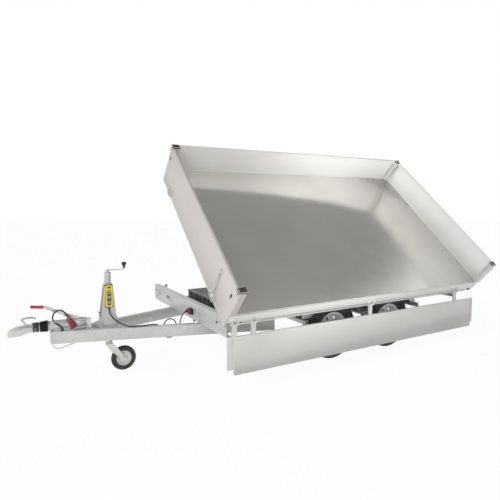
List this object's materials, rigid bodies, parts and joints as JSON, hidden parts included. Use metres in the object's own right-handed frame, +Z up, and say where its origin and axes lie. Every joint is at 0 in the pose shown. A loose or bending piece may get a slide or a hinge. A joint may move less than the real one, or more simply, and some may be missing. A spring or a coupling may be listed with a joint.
{
  "type": "dump trailer",
  "caption": "Flat dump trailer on twin axles, its drop-sided bed tipped to one side by a telescopic ram, with a V drawbar, overrun coupling and jockey wheel.",
  "frame": {"origin": "on the ground, under the middle of the tipped trailer's box", "axes": "+X towards the coupling, +Y to the trailer's left, the side it tips to, +Z up"},
  "size_m": [5.256, 2.3764, 2.368],
  "materials": {
    "galvanised": "hot-dip galvanised steel, satin",
    "aluminium": "anodised extrusion",
    "floor_sheet": "galvanised sheet, dull",
    "zinc": "zinc plated",
    "tyre": "black rubber",
    "rubber": "black rubber",
    "plastic_black": "matte moulding",
    "plastic_grey": "matte moulding",
    "plastic_red": "gloss moulding",
    "plastic_yellow": "matte moulding",
    "lamp_red": "lamp lens",
    "ram_black": "black paint",
    "chrome": "hard chromed"
  },
  "bodies": {
    "chassis": {"front_beam": "galvanised", "rear_beam": "galvanised", "frame_rail_left": "galvanised", "frame_rail_right": "galvanised", "cross_bar_front": "galvanised", "cross_bar_middle": "galvanised", "cross_bar_rear": "galvanised", "drawbar_beam_left": "galvanised", "drawbar_beam_right": "galvanised", "axle_front": "galvanised", "axle_rear": "galvanised", "mudguard_left": "plastic_black", "mudguard_right": "plastic_black", "ram_cradle": "galvanised", "box_tray": "galvanised", "power_unit": "plastic_grey", "battery_box": "plastic_black", "rear_lamp_left": "lamp_red", "rear_lamp_right": "lamp_red", "overrun_housing": "galvanised", "coupling_bellows": "rubber", "coupling_head": "zinc", "handbrake_lever": "zinc", "handbrake_grip": "plastic_red", "jockey_tower": "galvanised", "jockey_tube": "zinc", "jockey_crank": "zinc", "pendant_control": "plastic_yellow", "control_cable": "rubber", "control_socket": "plastic_black", "lead": "rubber", "lead_plug": "plastic_red"},
    "bed": {"bed_floor": "floor_sheet", "bed_side_left": "aluminium", "bed_side_right": "aluminium", "bed_front": "aluminium", "bed_rear": "aluminium", "headboard": "aluminium", "rear_post_left": "aluminium", "rear_post_right": "aluminium"},
    "hinge_rod": {"hinge_rod_left": "zinc"},
    "dropside_left": {"dropside_left": "aluminium"},
    "dropside_right": {"dropside_right": "aluminium"},
    "tailboard": {"tailboard": "aluminium"},
    "ram_barrel": {"ram_barrel": "ram_black"},
    "ram_stage_1": {"ram_stage_1": "chrome"},
    "ram_stage_2": {"ram_stage_2": "chrome"},
    "ram_stage_3": {"ram_stage_3": "chrome"},
    "jockey_swivel": {"jockey_fork": "zinc"},
    "jockey_wheel": {"jockey_tyre": "tyre", "jockey_rim": "zinc"},
    "wheel_front_left": {"tyre_front_left": "tyre", "rim_front_left": "zinc"},
    "wheel_front_right": {"tyre_front_right": "tyre", "rim_front_right": "zinc"},
    "wheel_rear_left": {"tyre_rear_left": "tyre", "rim_rear_left": "zinc"},
    "wheel_rear_right": {"tyre_rear_right": "tyre", "rim_rear_right": "zinc"}
  },
  "joints": [
    {"name": "bed_tip", "type": "hinge", "parent": "chassis", "child": "bed", "pos_m": [-0.835, 0.80525, 0.6574], "axis": [1, 0, 0], "range_deg": [0, 41.92]},
    {"name": "left_hinge_rod", "type": "hinge", "parent": "bed", "child": "hinge_rod", "pos_m": [-0.835, 0.89696, 0.60986], "axis": [1, 0, 0], "range_deg": [-41.92, 0]},
    {"name": "left_dropside", "type": "hinge", "parent": "hinge_rod", "child": "dropside_left", "pos_m": [-0.835, 0.89696, 0.60986], "axis": [1, 0, 0], "range_deg": [0, 138]},
    {"name": "right_dropside", "type": "hinge", "parent": "bed", "child": "dropside_right", "pos_m": [-0.835, -0.69164, 2.03624], "axis": [1, 0, 0], "range_deg": [0, 180]},
    {"name": "tailboard_hinge", "type": "hinge", "parent": "bed", "child": "tailboard", "pos_m": [-2.6155, 0.10266, 1.32305], "axis": [0, -0.7441, 0.6681], "range_deg": [0, 180]},
    {"name": "ram_swing", "type": "hinge", "parent": "chassis", "child": "ram_barrel", "pos_m": [-0.735, -0.16225, 0.55], "axis": [1, 0, 0], "range_deg": [0, 19.3]},
    {"name": "ram_slide_1", "type": "slide", "parent": "ram_barrel", "child": "ram_stage_1", "axis": [0, 0.3227, 0.9465], "range_m": [-0.2263, 0]},
    {"name": "ram_slide_2", "type": "slide", "parent": "ram_stage_1", "child": "ram_stage_2", "axis": [0, 0.3227, 0.9465], "range_m": [-0.2263, 0]},
    {"name": "ram_slide_3", "type": "slide", "parent": "ram_stage_2", "child": "ram_stage_3", "axis": [0, 0.3227, 0.9465], "range_m": [-0.2263, 0]},
    {"name": "wheel_front_left", "type": "hinge", "parent": "chassis", "child": "wheel_front_left", "pos_m": [-0.486, 0.59525, 0.325], "axis": [0, 1, 0], "continuous": true},
    {"name": "wheel_front_right", "type": "hinge", "parent": "chassis", "child": "wheel_front_right", "pos_m": [-0.486, -0.91975, 0.325], "axis": [0, 1, 0], "continuous": true},
    {"name": "wheel_rear_left", "type": "hinge", "parent": "chassis", "child": "wheel_rear_left", "pos_m": [-1.3375, 0.59525, 0.325], "axis": [0, 1, 0], "continuous": true},
    {"name": "wheel_rear_right", "type": "hinge", "parent": "chassis", "child": "wheel_rear_right", "pos_m": [-1.3375, -0.91975, 0.325], "axis": [0, 1, 0], "continuous": true},
    {"name": "jockey_swivel", "type": "hinge", "parent": "chassis", "child": "jockey_swivel", "pos_m": [1.731, -0.16225, 0.28], "axis": [0, 0, 1], "continuous": true},
    {"name": "jockey_wheel", "type": "hinge", "parent": "jockey_swivel", "child": "jockey_wheel", "pos_m": [1.589, -0.16225, 0.125], "axis": [0, 1, 0], "continuous": true}
  ],
  "couplings": [
    {"joint": "left_hinge_rod", "follows": "bed_tip", "ratio": -1},
    {"joint": "ram_swing", "follows": "bed_tip", "ratio": 0.46},
    {"joint": "ram_slide_1", "follows": "bed_tip", "m_per_rad": -0.309},
    {"joint": "ram_slide_2", "follows": "bed_tip", "m_per_rad": -0.309},
    {"joint": "ram_slide_3", "follows": "bed_tip", "m_per_rad": -0.309}
  ]
}
